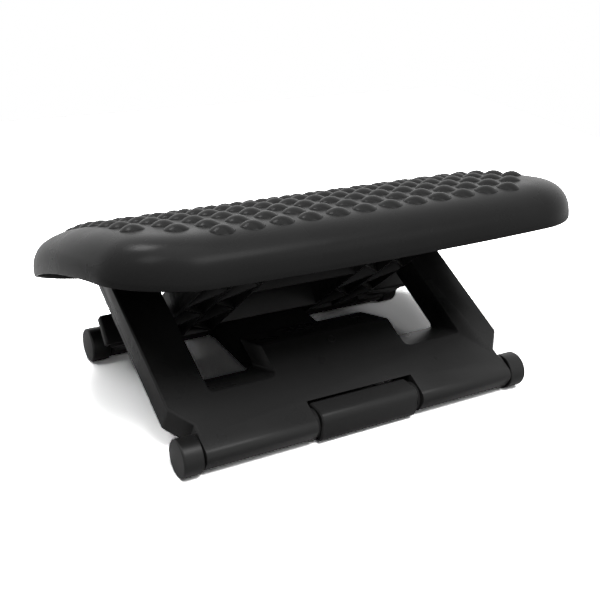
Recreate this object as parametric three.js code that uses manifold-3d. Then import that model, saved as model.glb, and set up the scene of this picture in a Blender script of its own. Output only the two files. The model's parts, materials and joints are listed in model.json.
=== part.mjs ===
// Tilting under desk footrest. Millimetres, +Z up, +Y towards the person who sits at the desk.
// Two crossed legs stand on rubber feet and carry a curved, domed footplate. A spreader keeps the
// two foot bars apart, so footplate, legs and spreader form a crossed four bar linkage that rocks.
import * as THREE from 'three';
import { mergeVertices } from 'three/addons/utils/BufferGeometryUtils.js';
import Module from 'manifold-3d';

const wasm = await Module();
wasm.setup();

// Driving sizes of the linkage
const legLength = 210; // bar axis to pivot rod axis
const axleShare = 0.981; // of the leg length, toe bar axis to heel bar axis along the floor
const rodShare = 0.7048; // of the leg length, pivot rod to pivot rod along the footplate
const outerLean = 25.1; // degrees from the floor, as photographed
const travel = 8; // degrees that the outer leg swings up from there
const runGap = 0.3; // between pieces that touch or turn in each other
const overrun = 1; // past a face that a cut goes through

// Feet and the bars that carry them
const footRadius = 16;
const footLength = 17.1;
const footEdge = 1.6;
const footSides = 24;
const footSpan = 346.4; // outer face to outer face
const footRing = 1.8; // dark ring between bar and foot
const spigotRadius = 10.5;
const spigotLength = 12.5;
const spigotGap = 0.45; // round the spigot, in the foot
const barHalf = 14.2; // half the square bar's height
const barCorner = 8;
const soleCorner = 14.1; // corner of a leg's bar that turns towards the floor
const axleRadius = 4;
const boreClearance = 0.4;
const axleGrip = 22; // length of axle inside each bar half
const axleSides = 16;

// Knuckles and spreader
const knuckleHalf = 49;
const knuckleEdge = 1.2;
const bushThick = 4.1;
const bushRadius = 12.8;
const bushEdge = 0.8;
const bushSides = 20;
const spreaderInset = 1.7; // spreader's sides inside the knuckle's ends
const spreaderTop = 22.5; // above the floor
const spreaderFloorGap = 1.4;
const neckTop = 13.5;
const spreaderWall = 2.6;
const rampHead = 44; // of the ramp down to the toe side, from the middle
const rampFoot = 12;
const spreaderBayCount = 3;

// Leg shells
const legDepth = 27.7; // front face to open back
const legWall = 3;
const legRib = 2.2;
const legEdge = 1.4; // rounded edge of the front face
const shoulderInset = 4.2; // sides of the legs inside the feet's outer faces
const neckInset = 0.8; // waist beside the feet, inside the end of the bar
const neckRise = 18;
const shoulderRise = 37;
const shoulderCorner = 5;
const innerShoulder = 45; // where the inner leg steps in
const innerFillet = 6;
const tipRadius = 8.6; // round the pivot rod
const tipTrim = 5; // shell stops short of the tip
const tipBevel = 30; // degrees, slant that trims the front face down to the tip
const slotRise = 13; // knuckle slot on the front face
const outerSlotLean = 15.7; // its wall leans up towards the back
const innerSlotLean = 24; // steeper, as this leg comes down over the spreader

// Opening of the outer leg, round its tongue
const armWidth = 39.7; // beside the opening
const windowFoot = 42.8;
const windowRise = 14.6; // its head beyond the crossing of the legs
const windowCorner = 4.5;
const tongueFoot = 7; // corner where the tongue leaves the foot of the opening
const tongueMargin = 12.8; // tongue's sides outside the knuckle slot
const tongueDrop = 42.7; // its head short of the crossing when the footrest is tipped forward
const tongueCorner = 2.5;
const footSlant = 31.3; // foot and tongue run up the leg by this much, front to back
const headSlant = 14; // and the head of the opening by this much
const passGap = 11.3; // inner leg to the sides of the opening

// Ribs behind the front faces
const armRibCount = 5;
const footRibCount = 5;
const bayRibCount = 6;
const shoulderRibCount = 2;
const crossRibShares = [0.6, 0.75, 0.9]; // of the leg length, up the inner leg's middle

// Pivot rods, their caps and the brackets that hold them
const rodRadius = 4;
const rodProud = 5;
const capRadius = 7;
const capLength = 5.2;
const capFloor = 1.4;
const bracketInset = 20; // middle of a bracket inside the inner leg's side
const earThick = 8;
const earRadius = 9.2;
const earHead = 15; // half width of an ear at its flange
const earRoundShare = 0.9; // of its radius
const earSlotGap = 2.4; // each side of an ear in its leg
const earSlotFoot = 15; // below the rod axis
const seatPlay = 2.3; // the toe rods may shift this far each way
const flangeX = 40;
const flangeY = 46;
const flangeThick = 3;
const flangeCorner = 5;
const hingeDrop = 34.1; // crown of the footplate to the rods' plane
const bracketSink = 18.6; // crown to the top of a flange
const screwReach = 18.5; // screw to rod, along the footplate
const screwShift = 12; // screw to ear, across it
const screwRadius = 1.7;
const screwLength = 9;
const screwHeadRadius = 3.6;
const screwHeadHeight = 1.8;
const screwHeadShare = 0.7; // of its radius, the head's flat crown
const screwSides = 8;
const bossRadius = 4.6;

// Footplate
const treadShift = 4.6; // footplate centre beyond the middle of the rods
const crownRadius = 650;
const plateHalfX = 213;
const plateHalfY = 164;
const bowX = 14.7; // sides swell by this much at their middle
const bowY = 10.7;
const toeCorner = 58;
const heelCorner = 110;
const rollRun = 37.5; // inward reach of the rolled edge
const rollDrop = 33.1; // crown surface to the lower rim
const rollShare = 0.79; // bend of the rolled edge's section, 1 is an ellipse
const plateWall = 3;
const plateRib = 2;
const plateRibDepth = 10; // crown surface to the foot of a rib
const ribPitchX = 76;
const ribPitchY = 50;
const ribColumns = 5;
const ribRows = 6;
const columnPitch = 24.6; // of the domes, across
const rowPitch = 25; // and over the crown
const domeRadius = 10.3;
const domeRise = 4.4;
const domeSink = 0.8; // dome's foot below the tread
const domeShoulderShare = 0.55; // of the dome's arc, at its middle ring
const domeRows = [12, 14, 16, 16, 16, 16, 16, 16, 16, 16, 14, 12];
const domeSides = 8;
const cornerSteps = 5;
const endSteps = 4;
const ribSteps = 5;
const rollSteps = 5;
const arcSteps = 5;

const rad = THREE.MathUtils.degToRad;
const axleHeight = footRadius * Math.cos(Math.PI / footSides);
const boreRadius = axleRadius + boreClearance;
const axleSpacing = legLength * axleShare;
const rodSpacing = legLength * rodShare;
const legBack = barHalf - legDepth;
const barEnd = footSpan / 2 - footLength - footRing;
const neckHalf = barEnd - neckInset;
const legHalf = footSpan / 2 - shoulderInset;
const windowHalf = legHalf - armWidth;
const innerHalf = windowHalf - passGap;
const bracketX = innerHalf - bracketInset;
const knuckleSlot = knuckleHalf + bushThick + 2 * runGap;
const spreaderHalf = knuckleHalf - spreaderInset;
const tongueHalf = knuckleSlot + tongueMargin;
const windowTop = crossing(rad(outerLean)) + windowRise;
const tongueTop = crossing(rad(outerLean + travel)) - tongueDrop;

// Closing the linkage: the inner leg's lean and the footplate's slope that go with the outer lean
function closeLinkage(lean) {
  const heelAxle = new THREE.Vector2(axleSpacing / 2, 0);
  const heelRod = new THREE.Vector2(Math.cos(lean), Math.sin(lean)).multiplyScalar(legLength).sub(heelAxle);
  const away = heelRod.clone().sub(heelAxle);
  const span = away.length();
  const reach = (legLength ** 2 - rodSpacing ** 2 + span ** 2) / (2 * span);
  const offset = Math.sqrt(legLength ** 2 - reach ** 2);
  away.normalize();
  const aside = new THREE.Vector2(-away.y, away.x);
  const spots = [-offset, offset].map((side) => (
    heelAxle.clone().addScaledVector(away, reach).addScaledVector(aside, side)));
  const toeRod = spots[0].x < spots[1].x ? spots[0] : spots[1];
  const innerLean = Math.atan2(toeRod.y, heelAxle.x - toeRod.x);
  const slope = Math.atan2(heelRod.y - toeRod.y, heelRod.x - toeRod.x);
  return { innerLean, slope, toeRod, heelRod };
}

// Where the middles of the crossed legs meet, from the toe axle up the outer leg
function crossing(lean) {
  const { innerLean } = closeLinkage(lean);
  return (axleSpacing * Math.sin(innerLean)) / Math.sin(innerLean + lean);
}

// Solids from three.js geometry and back
function solid(geometry) {
  const bare = geometry.clone();
  bare.deleteAttribute('normal');
  if (bare.getAttribute('uv')) bare.deleteAttribute('uv');
  const merged = mergeVertices(bare, 1e-4);
  const vertProperties = new Float32Array(merged.getAttribute('position').array);
  const triVerts = new Uint32Array(merged.getIndex().array);
  return new wasm.Manifold(new wasm.Mesh({ numProp: 3, vertProperties, triVerts }));
}

function geometryOf(body) {
  const mesh = body.getMesh();
  const geometry = new THREE.BufferGeometry();
  geometry.setAttribute('position', new THREE.BufferAttribute(new Float32Array(mesh.vertProperties), 3));
  geometry.setIndex(new THREE.BufferAttribute(new Uint32Array(mesh.triVerts), 1));
  return geometry;
}

// Accepts geometries and solids alike
const body = (item) => (item.isBufferGeometry ? solid(item) : item);
const join = (items) => items.map(body).reduce((sum, item) => sum.add(item));
const cut = (item, tools) => tools.map(body).reduce((rest, tool) => rest.subtract(tool), body(item));

// Evenly spaced places about the middle
const spread = (count, pitch) => Array.from({ length: count }, (_, i) => (i - (count - 1) / 2) * pitch);

function moved(geometry, x, y, z) {
  return geometry.clone().translate(x, y, z);
}

// Geometry drawn as a section, turned so that the section's X runs along Y, its Y up and its depth along X
function along(geometry) {
  return geometry.rotateX(Math.PI / 2).rotateZ(Math.PI / 2);
}

// Closed skin through rings of equal point counts. The two ends are capped with rungs that run
// straight across, between points that mirror each other; the middle one of them is given.
function skin(rings, middle) {
  const count = rings[0].length;
  const index = [];
  for (let r = 0; r + 1 < rings.length; r++) {
    for (let j = 0; j < count; j++) {
      const k = (j + 1) % count;
      const a = r * count;
      const b = a + count;
      index.push(a + j, a + k, b + k, a + j, b + k, b + j);
    }
  }
  const end = (rings.length - 1) * count;
  for (let j = 0; j < count / 2; j++) {
    const right = [0, 1].map((step) => (middle - j - step + count) % count);
    const left = [0, 1].map((step) => (middle + j + step) % count);
    const faces = [[left[0], left[1], right[1]], [left[0], right[1], right[0]]];
    for (const [a, b, c] of faces.filter((face) => new Set(face).size === 3)) {
      index.push(a, c, b, a + end, b + end, c + end);
    }
  }
  const geometry = new THREE.BufferGeometry().setFromPoints(rings.flat());
  geometry.setIndex(index);
  return geometry;
}

// Prism between two outlines with equal point counts, both counterclockwise
function loft(lower, lowerZ, upper, upperZ) {
  const count = lower.length;
  const at = (z) => (p) => new THREE.Vector3(p.x, p.y, z);
  const geometry = new THREE.BufferGeometry();
  geometry.setFromPoints([...lower.map(at(lowerZ)), ...upper.map(at(upperZ))]);
  const index = [];
  for (const [a, b, c] of THREE.ShapeUtils.triangulateShape(lower, [])) index.push(a, c, b);
  for (const [a, b, c] of THREE.ShapeUtils.triangulateShape(upper, [])) {
    index.push(a + count, b + count, c + count);
  }
  for (let j = 0; j < count; j++) {
    const k = (j + 1) % count;
    index.push(j, k, k + count, j, k + count, j + count);
  }
  geometry.setIndex(index);
  return geometry;
}

function extrude(shape, from, to, bevel = 0) {
  const geometry = new THREE.ExtrudeGeometry(shape, {
    depth: to - from - 2 * bevel,
    bevelEnabled: bevel > 0,
    bevelSize: bevel,
    bevelThickness: bevel,
    bevelOffset: -bevel,
    bevelSegments: 1,
    curveSegments: arcSteps,
  });
  return geometry.translate(0, 0, from + bevel);
}

function box(x0, x1, y0, y1, z0, z1) {
  const geometry = new THREE.BoxGeometry(x1 - x0, y1 - y0, z1 - z0);
  return geometry.translate((x0 + x1) / 2, (y0 + y1) / 2, (z0 + z1) / 2);
}

// Turned piece along X, from a profile of [distance along X, radius] pairs; side -1 turns it round
function turned(profile, sides, side = 1) {
  const geometry = new THREE.LatheGeometry(profile.map(([x, r]) => new THREE.Vector2(r, x)), sides);
  return geometry.rotateY(Math.PI / sides).rotateZ((-side * Math.PI) / 2);
}

function rodAlongX(from, to, radius, sides = axleSides) {
  return turned([[from, 0], [from, radius], [to, radius], [to, 0]], sides);
}

// Arc that rounds the corner here, between the corners before and after it
function cornerArc(before, here, after, radius) {
  const back = before.clone().sub(here).normalize();
  const ahead = after.clone().sub(here).normalize();
  const half = Math.acos(THREE.MathUtils.clamp(back.dot(ahead), -1, 1)) / 2;
  const start = here.clone().addScaledVector(back, radius / Math.tan(half));
  const centre = here.clone().addScaledVector(back.clone().add(ahead).normalize(), radius / Math.sin(half));
  const sweep = (Math.PI - 2 * half) * Math.sign(ahead.cross(back));
  return Array.from({ length: arcSteps + 1 }, (_, k) => (
    start.clone().rotateAround(centre, (sweep * k) / arcSteps)));
}

// Closed outline through corners, each corner [x, y, fillet radius]
function filleted(corners) {
  const spots = corners.map(([x, y]) => new THREE.Vector2(x, y));
  const count = corners.length;
  return corners.flatMap(([, , radius], i) => (radius
    ? cornerArc(spots[(i + count - 1) % count], spots[i], spots[(i + 1) % count], radius)
    : [spots[i]]));
}

function roundedBox(halfX, halfY, radius) {
  return filleted([
    [-halfX, -halfY, radius], [halfX, -halfY, radius], [halfX, halfY, radius], [-halfX, halfY, radius],
  ]);
}

function shapeOf(points) {
  return new THREE.Shape(points);
}

function mirrored(half) {
  return [...half, ...half.map(([x, y, r]) => [-x, y, r]).reverse()];
}

// Square bar along X about its own axis. The sole is the rounder corner that turns towards the floor.
function barAlongX(from, to, edge = 0, sole = barCorner) {
  const h = barHalf;
  const section = filleted([[-h, -h, sole], [h, -h, barCorner], [h, h, barCorner], [-h, h, barCorner]]);
  return along(extrude(shapeOf(section), from, to, edge));
}

// Leg shell in its own frame: X across, Y up the leg from the bar axis, Z out of the front face
function outerOutline(inset) {
  return mirrored([
    [neckHalf - inset, 0, 0],
    [neckHalf - inset, neckRise, 0],
    [legHalf - inset, shoulderRise, shoulderCorner],
    [legHalf - inset, legLength + tipRadius - tipTrim - inset, shoulderCorner],
  ]);
}

function innerOutline(inset) {
  return mirrored([
    [neckHalf - inset, 0, 0],
    [neckHalf - inset, neckRise, 0],
    [legHalf - inset, shoulderRise - inset, shoulderCorner / 2],
    [legHalf - inset, innerShoulder - inset, shoulderCorner / 2],
    [innerHalf - inset, innerShoulder - inset, innerFillet],
    [innerHalf - inset, legLength + tipRadius - tipTrim - inset, shoulderCorner],
  ]);
}

// Opening round the tongue, grown by its wall, at a share of the way from front to back
function windowOutline(share, grow) {
  const side = windowHalf + grow;
  const foot = windowFoot + footSlant * share - grow;
  const top = windowTop + headSlant * share + grow;
  const tongue = tongueHalf - grow;
  const crest = tongueTop + footSlant * share - grow;
  return filleted(mirrored([
    [tongue, crest, tongueCorner],
    [tongue, foot, tongueFoot],
    [side, foot, windowCorner],
    [side, top, windowCorner],
  ]));
}

function windowTool(grow) {
  const past = overrun / legDepth;
  return loft(windowOutline(1 + past, grow), legBack - overrun, windowOutline(-past, grow), barHalf + overrun);
}

// Slot in the bar and the shell behind it, where the knuckle turns
function knuckleCut(lean) {
  const reach = 2 * barHalf;
  const profile = [
    [-reach, -reach], [slotRise + lean * (barHalf + reach) / legDepth, -reach], [slotRise, barHalf],
    [slotRise, reach], [-reach, reach],
  ].map(([y, z]) => new THREE.Vector2(y, z));
  return along(extrude(shapeOf(profile), -knuckleSlot, knuckleSlot));
}

// Front face trimmed on a slant down to the rounded tip, so that it turns clear of the brackets
function tipCut() {
  const block = box(-2 * legHalf, 2 * legHalf, -legLength, legLength, tipRadius, tipRadius + legLength);
  return block.rotateX(-rad(tipBevel)).translate(0, legLength, 0);
}

function earCuts() {
  const half = earThick / 2 + earSlotGap;
  const tip = legLength + tipRadius + overrun;
  return [-bracketX, bracketX].map((x) => box(
    x - half, x + half, legLength - earSlotFoot, tip, legBack - overrun, barHalf + overrun));
}

// Pocket between the ribs, open at the back
function pockets(outline, ribs, keepOut) {
  const hollow = extrude(shapeOf(filleted(outline)), legBack - overrun, barHalf - legWall);
  const depths = [legBack - 2 * overrun, barHalf];
  const barZone = box(-legHalf, legHalf, -barHalf, barHalf + legWall, ...depths);
  const tipFoot = legLength - tipRadius - legWall;
  const tipZone = box(-legHalf, legHalf, tipFoot, legLength + 2 * tipRadius, ...depths);
  return cut(hollow, [barZone, tipZone, ...ribs, ...keepOut]);
}

function legBars() {
  const bores = [];
  const bars = [-1, 1].map((side) => {
    const from = side < 0 ? -barEnd : knuckleSlot;
    const to = side < 0 ? -knuckleSlot : barEnd;
    const end = side * barEnd;
    const tip = end + side * spigotLength;
    const spigot = rodAlongX(Math.min(end - side * overrun, tip), Math.max(end - side * overrun, tip),
      spigotRadius, footSides);
    const mouth = side * (knuckleSlot - overrun);
    const deep = side * (knuckleSlot + axleGrip + runGap);
    bores.push(rodAlongX(Math.min(mouth, deep), Math.max(mouth, deep), boreRadius));
    return join([barAlongX(from, to, 0, soleCorner), spigot]);
  });
  return { bars, bores };
}

function ribAcross(y, half) {
  return box(-half, half, y - legRib / 2, y + legRib / 2, legBack, barHalf);
}

function ribAlong(x, from, to) {
  return box(x - legRib / 2, x + legRib / 2, from, to, legBack, barHalf);
}

// Rib between two points of the shell's plan
function ribBetween(x0, y0, x1, y1) {
  const length = Math.hypot(x1 - x0, y1 - y0);
  const geometry = new THREE.BoxGeometry(length, legRib, legDepth);
  geometry.rotateZ(Math.atan2(y1 - y0, x1 - x0));
  return geometry.translate((x0 + x1) / 2, (y0 + y1) / 2, (legBack + barHalf) / 2);
}

// Zigzag of ribs in a bay, climbing up the leg or running across it
function zigzag(x0, x1, y0, y1, steps, across = false) {
  const lerp = THREE.MathUtils.lerp;
  return Array.from({ length: steps }, (_, i) => {
    const flip = i % 2 === 1;
    const from = i / steps;
    const to = (i + 1) / steps;
    return across
      ? ribBetween(lerp(x0, x1, from), flip ? y1 : y0, lerp(x0, x1, to), flip ? y0 : y1)
      : ribBetween(flip ? x1 : x0, lerp(y0, y1, from), flip ? x0 : x1, lerp(y0, y1, to));
  });
}

function legTip(half) {
  return moved(rodAlongX(-half, half, tipRadius, footSides), 0, legLength, 0);
}

function rodBore(half) {
  const reach = half + overrun;
  return moved(rodAlongX(-reach, reach, rodRadius + boreClearance), 0, legLength, 0);
}

function legBody(outline, half, slotLean, ribs, keepOut, openings) {
  const { bars, bores } = legBars();
  const plate = extrude(shapeOf(filleted(outline(0))), legBack, barHalf, legEdge);
  const kept = [...ribs, knuckleFrame(slotLean)];
  const cuts = [pockets(outline(legWall), kept, keepOut), ...openings, knuckleCut(slotLean), tipCut()];
  const leg = join([plate, ...bars, legTip(half)]);
  return geometryOf(cut(leg, [...cuts, ...earCuts(), ...bores, rodBore(half)]));
}

function outerLegGeometry() {
  const tongueRib = knuckleSlot + legWall / 2;
  const bay = windowTop + headSlant;
  const ribs = [
    ribAlong(-tongueRib, 0, tongueTop + footSlant),
    ribAlong(tongueRib, 0, tongueTop + footSlant),
    ribAcross((slotRise + outerSlotLean + tongueTop) / 2, tongueRib),
    ...[-1, 1].flatMap((side) => [
      ...zigzag(side * windowHalf, side * legHalf, windowFoot, bay, armRibCount),
      ...zigzag(side * tongueRib, side * legHalf, barHalf, windowFoot + footSlant, footRibCount, true),
      ribAlong(side * (bracketX - earHead), bay, legLength),
      ribAlong(side * (bracketX + earHead), bay, legLength),
    ]),
    ribAlong(0, bay, legLength),
  ];
  return legBody(outerOutline, legHalf, outerSlotLean, ribs, [windowTool(legWall)], [windowTool(0)]);
}

function innerLegGeometry() {
  const spine = knuckleSlot + legWall / 2;
  const mid = (spine + innerHalf) / 2;
  const ribs = [
    ...[-1, 1].flatMap((side) => [
      ribAlong(side * spine, 0, legLength),
      ribAlong(side * mid, 0, legLength),
      ...zigzag(side * spine, side * mid, neckRise, legLength, bayRibCount),
      ...zigzag(side * mid, side * innerHalf, neckRise, legLength, bayRibCount),
      ...zigzag(side * innerHalf, side * legHalf, neckRise, shoulderRise, shoulderRibCount),
    ]),
    ...crossRibShares.map((share) => ribAcross(legLength * share, spine)),
  ];
  return legBody(innerOutline, innerHalf, innerSlotLean, ribs, [], []);
}

// Wall round the knuckle slot, kept when the pockets are cut
function knuckleFrame(slotLean) {
  const half = knuckleSlot + legWall;
  const rise = slotRise + slotLean + legWall;
  return box(-half, half, 0, rise, legBack, barHalf);
}

// Rubber foot, a cap pushed over the bar's spigot. Sides +1 and -1 face outwards.
function footGeometry(side) {
  const inner = barEnd + footRing;
  const outer = inner + footLength;
  const bore = spigotRadius + spigotGap;
  const floor = barEnd + spigotLength + runGap;
  const profile = [
    [floor, 0], [floor, bore], [inner, bore], [inner, footRadius], [outer - footEdge, footRadius],
    [outer, footRadius - footEdge], [outer, 0],
  ];
  return turned(profile, footSides, side);
}

// Round bush between knuckle and bar, on the axle
function bushGeometry(side) {
  const from = knuckleHalf + runGap;
  const to = knuckleSlot - runGap;
  const profile = [
    [from, boreRadius], [from, bushRadius - bushEdge], [from + bushEdge, bushRadius], [to, bushRadius],
    [to, boreRadius], [from, boreRadius],
  ];
  return turned(profile, bushSides, side);
}

function axleGeometry() {
  const half = knuckleSlot + axleGrip;
  return rodAlongX(-half, half, axleRadius);
}

// Hollows under the spreader, in two rows that follow its top
function spreaderBays(low, high) {
  const reach = axleSpacing / 2 - barHalf - spreaderWall;
  const inner = spreaderHalf - spreaderWall;
  const pitch = (2 * inner + spreaderWall) / spreaderBayCount;
  const rows = [[rampHead, reach, high], [-reach, rampFoot - spreaderWall, neckTop - axleHeight]];
  return rows.flatMap(([y0, y1, top]) => Array.from({ length: spreaderBayCount }, (_, i) => box(
    i * pitch - inner, (i + 1) * pitch - inner - spreaderWall, y0, y1, low - overrun, top - spreaderWall)));
}

// Spreader: knuckles on both axles, joined by a low tray open underneath
function spreaderGeometry() {
  const half = axleSpacing / 2;
  const low = spreaderFloorGap - axleHeight;
  const high = spreaderTop - axleHeight;
  const neck = neckTop - axleHeight;
  const side = [[-half, low], [half, low], [half, high], [rampHead, high], [rampFoot, neck], [-half, neck]]
    .map(([y, z]) => new THREE.Vector2(y, z));
  const web = along(extrude(shapeOf(side), -spreaderHalf, spreaderHalf, legEdge));
  const bar = barAlongX(-knuckleHalf, knuckleHalf, knuckleEdge);
  const bore = rodAlongX(-knuckleHalf - overrun, knuckleHalf + overrun, boreRadius);
  const at = (geometry) => [-half, half].map((y) => moved(geometry, 0, y, 0));
  return geometryOf(cut(join([cut(web, spreaderBays(low, high)), ...at(bar)]), at(bore)));
}

function rodGeometry(half) {
  const reach = half + rodProud;
  return rodAlongX(-reach, reach, rodRadius);
}

// Push-on cap over a rod end
function capGeometry(side, half) {
  const from = half + runGap;
  const floor = half + rodProud + runGap;
  const to = floor + capFloor;
  const bore = rodRadius + boreClearance;
  const profile = [
    [floor, 0], [floor, bore], [from, bore], [from, capRadius], [to - capFloor, capRadius],
    [to, capRadius - capFloor], [to, 0],
  ];
  return turned(profile, axleSides, side);
}

// Footplate surface: u runs over the crown from toe side to heel side, depth goes down its normal
function onCrown(x, u, depth) {
  const angle = u / crownRadius;
  const radius = crownRadius - depth;
  return new THREE.Vector3(x, radius * Math.sin(angle), radius * Math.cos(angle) - crownRadius);
}

// Rounded outline with bowed sides, drawn in by inset. Its sides have a point between every two
// rows of domes, so that the rungs of the tread pass between the rows.
function plateOutline(inset) {
  const halfX = plateHalfX - inset;
  const halfY = plateHalfY - inset;
  const points = [];
  const corner = (sx, sy, radius, start) => {
    for (let k = 0; k <= cornerSteps; k++) {
      const a = start + (Math.PI / 2) * (k / cornerSteps);
      const r = radius - inset;
      const centre = [sx * (plateHalfX - radius), sy * (plateHalfY - radius)];
      points.push([centre[0] + r * Math.cos(a), centre[1] + r * Math.sin(a)]);
    }
  };
  const end = (sy, reach) => {
    for (let k = 1; k < endSteps; k++) points.push([sy * reach * (1 - (2 * k) / endSteps), sy * halfY]);
  };
  const rungs = [];
  const first = Math.ceil((toeCorner - plateHalfY) / rowPitch) * rowPitch;
  for (let u = first; u < plateHalfY - heelCorner; u += rowPitch) rungs.push(u);
  corner(1, 1, heelCorner, 0);
  end(1, plateHalfX - heelCorner);
  corner(-1, 1, heelCorner, Math.PI / 2);
  points.push(...rungs.map((u) => [-halfX, u]).reverse());
  corner(-1, -1, toeCorner, Math.PI);
  end(-1, plateHalfX - toeCorner);
  corner(1, -1, toeCorner, 1.5 * Math.PI);
  points.push(...rungs.map((u) => [halfX, u]));
  return points.map(([x, y]) => {
    const shareX = x / halfX;
    const shareY = y / halfY;
    const swellX = bowX * (halfX / plateHalfX) * (1 - shareY * shareY) * shareX;
    const swellY = bowY * (halfY / plateHalfY) * (1 - shareX * shareX) * shareY;
    return [x + swellX, y + swellY];
  });
}

function plateRing(inset, depth) {
  return plateOutline(inset).map(([x, u]) => onCrown(x, u, depth));
}

// Rings of the rolled edge, from the rim up to the edge of the tread
function edgeRings(wall, steps) {
  return Array.from({ length: steps + 1 }, (_, k) => {
    const t = (Math.PI / 2) * (k / steps);
    const inset = wall + (rollRun - wall) * (1 - Math.cos(t) ** rollShare);
    const depth = wall + (rollDrop - wall) * (1 - Math.sin(t) ** rollShare);
    return plateRing(inset, k === 0 ? rollDrop : depth);
  });
}

const plateMiddle = cornerSteps + endSteps / 2;

function plateShell() {
  const inner = edgeRings(plateWall, rollSteps - 1).reverse();
  return solid(skin([...inner, ...edgeRings(0, rollSteps)], plateMiddle));
}

// Everything from a depth below the tread down to the rim
function plateCore(depth = plateWall / 2) {
  return solid(skin(edgeRings(depth, rollSteps), plateMiddle));
}

function crownPlaced(geometry, x, u, depth) {
  const at = onCrown(x, u, depth);
  return geometry.clone().rotateX(-u / crownRadius).translate(at.x, at.y, at.z);
}

function domes() {
  const cap = (domeRadius ** 2 + domeRise ** 2) / (2 * domeRise);
  const reach = Math.asin(domeRadius / cap);
  const bend = reach * domeShoulderShare;
  const ringRadius = cap * Math.sin(bend);
  const ringRise = domeRise - cap * (1 - Math.cos(bend));
  const skirt = domeRadius + (domeRadius - ringRadius) * (domeSink / ringRise);
  const profile = [[0, -domeSink], [skirt, -domeSink], [ringRadius, ringRise], [0, domeRise]]
    .map(([r, z]) => new THREE.Vector2(r, z));
  const lathe = new THREE.LatheGeometry(profile, domeSides);
  const dome = lathe.rotateX(Math.PI / 2);
  return spread(domeRows.length, rowPitch).flatMap((u, row) => (
    spread(domeRows[row], columnPitch).map((x) => crownPlaced(dome, x, u, 0))));
}

function plateRibs() {
  const ribs = [];
  const span = plateHalfY + bowY;
  for (const x of spread(ribColumns, ribPitchX)) {
    const arc = [];
    for (const [depth, sign] of [[plateWall / 2, 1], [plateRibDepth, -1]]) {
      for (let k = -ribSteps; k <= ribSteps; k++) {
        const p = onCrown(0, (sign * k * span) / ribSteps, depth);
        arc.push(new THREE.Vector2(p.y, p.z));
      }
    }
    ribs.push(along(extrude(shapeOf(arc.reverse()), x - plateRib / 2, x + plateRib / 2)));
  }
  for (const u of spread(ribRows, ribPitchY)) {
    const reach = plateHalfX + bowX;
    const rib = box(-reach, reach, -plateRib / 2, plateRib / 2, plateWall / 2 - plateRibDepth, 0);
    ribs.push(crownPlaced(rib, 0, u, plateWall / 2));
  }
  return ribs;
}

// Rod positions in the footplate's frame
const rodY = [-treadShift - rodSpacing / 2, rodSpacing / 2 - treadShift];

// Two screws per bracket, one on each side of its ear
function screwSpots() {
  return rodY.flatMap((y) => [-bracketX, bracketX].flatMap((x) => [-1, 1].map((end) => [
    x + end * Math.sign(x) * screwShift, y + end * screwReach])));
}

function turnedDown(radius, bottom, top, sides) {
  const geometry = new THREE.CylinderGeometry(radius, radius, top - bottom, sides);
  return geometry.rotateX(Math.PI / 2).translate(0, 0, (top + bottom) / 2);
}

function footplateGeometry() {
  const core = plateCore();
  const foot = runGap - bracketSink;
  const each = (geometry) => join(screwSpots().map(([x, y]) => moved(geometry, x, y, 0)));
  const bosses = each(turnedDown(bossRadius, foot, 0, screwSides)).intersect(core);
  const holes = each(turnedDown(screwRadius + runGap, foot - overrun, foot + screwLength, screwSides));
  const pads = rodY.flatMap((y) => [-bracketX, bracketX].map((x) => box(
    x - flangeX / 2, x + flangeX / 2, y - flangeY / 2, y + flangeY / 2, -rollDrop, foot)));
  const ribs = cut(join(plateRibs()).intersect(core), pads);
  const plate = join([plateShell(), ribs, bosses, ...domes()]);
  return geometryOf(plate.subtract(holes.intersect(plateCore(plateWall))));
}

// Section of an ear: a ring round the rod, drawn out to the flange
function earSection(wide, rodZ, top) {
  const round = earRadius * earRoundShare;
  return shapeOf(filleted([
    [-wide, rodZ - earRadius, round],
    [wide, rodZ - earRadius, round],
    [wide, rodZ, 0],
    [earHead, top, 0],
    [-earHead, top, 0],
    [-wide, rodZ, 0],
  ]));
}

// Bracket: a flange under the footplate with an ear round the rod. The toe ears hold it in a slot.
function bracketGeometry(x, play) {
  const flangeFoot = -bracketSink - flangeThick;
  const rodZ = -hingeDrop;
  const half = rodRadius + boreClearance;
  const outline = roundedBox(flangeX / 2, flangeY / 2, flangeCorner);
  const flange = extrude(shapeOf(outline), flangeFoot, -bracketSink);
  const ear = extrude(earSection(earRadius + play, rodZ, flangeFoot + runGap), -earThick / 2, earThick / 2);
  const hole = turnedDown(screwRadius + runGap, flangeFoot - overrun, overrun - bracketSink, screwSides);
  const bore = rodAlongX(-earThick, earThick, half);
  const cuts = [-1, 1].flatMap((end) => [
    moved(hole, end * Math.sign(x) * screwShift, end * screwReach, 0),
    moved(bore, 0, end * play, rodZ),
  ]);
  if (play) cuts.push(box(-earThick, earThick, -play, play, rodZ - half, rodZ + half));
  return geometryOf(cut(join([flange, along(ear)]), cuts));
}

function screwGeometry() {
  const seat = -bracketSink - flangeThick - runGap;
  const tip = seat + screwLength;
  const profile = [
    [0, seat - screwHeadHeight], [screwHeadRadius * screwHeadShare, seat - screwHeadHeight],
    [screwHeadRadius, seat - screwHeadHeight / 2], [screwHeadRadius, seat], [screwRadius, seat],
    [screwRadius, tip - screwRadius], [0, tip],
  ].map(([r, z]) => new THREE.Vector2(r, z));
  return new THREE.LatheGeometry(profile, screwSides).rotateX(Math.PI / 2);
}

// Colours and finishes
const finish = (color, roughness, metalness = 0) => new THREE.MeshStandardMaterial({
  color, roughness, metalness,
});
const legPlastic = finish('#232426', 0.42);
const treadPlastic = finish('#2a2b2d', 0.55);
const rubber = finish('#1f1f20', 0.8);
const nylon = finish('#343537', 0.5);
const steel = finish('#8d9094', 0.35, 1);

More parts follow.
